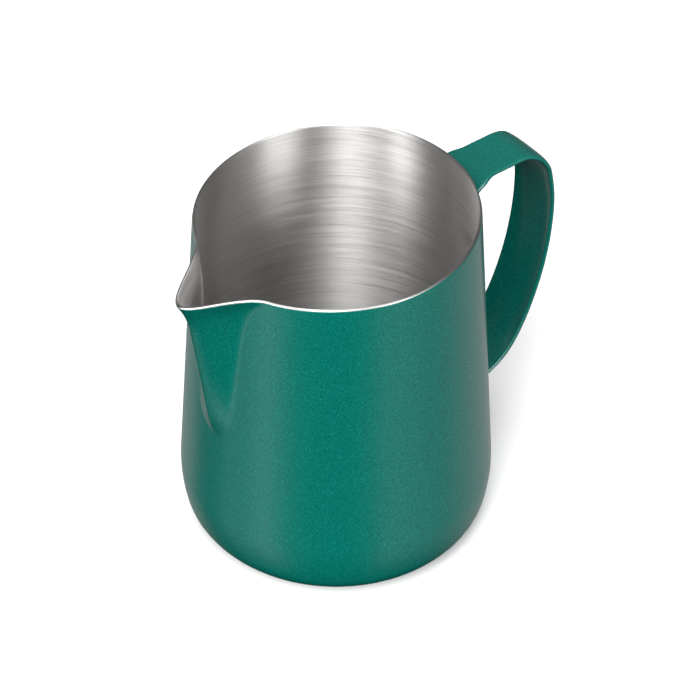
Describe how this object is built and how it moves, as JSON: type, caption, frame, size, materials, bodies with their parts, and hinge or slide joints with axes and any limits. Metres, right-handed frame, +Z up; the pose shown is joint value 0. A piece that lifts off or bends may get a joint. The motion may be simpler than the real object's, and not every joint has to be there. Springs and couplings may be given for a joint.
{
  "type": "milk frothing pitcher",
  "caption": "Steel jug for steaming and pouring milk, with a pressed spout and a bent strip handle; painted outside, bare inside.",
  "frame": {"origin": "middle of the base, on the plane the jug stands on", "axes": "+X from the jug towards the handle, -X towards the spout, +Z up, +Y to the left when looking along +X"},
  "size_m": [0.1289, 0.091, 0.1089],
  "materials": {
    "bare_steel": "circumferentially brushed",
    "strip_steel": "mill finish under the paint",
    "weld_steel": "fused, not dressed",
    "green_paint": "satin metallic green with a fine flake"
  },
  "bodies": {
    "root": {"jug_body": "bare_steel", "body_paint": "green_paint", "handle_strip": "strip_steel", "handle_paint": "green_paint", "weld_upper_left": "weld_steel", "weld_upper_right": "weld_steel", "weld_lower_left": "weld_steel", "weld_lower_right": "weld_steel"}
  },
  "joints": []
}
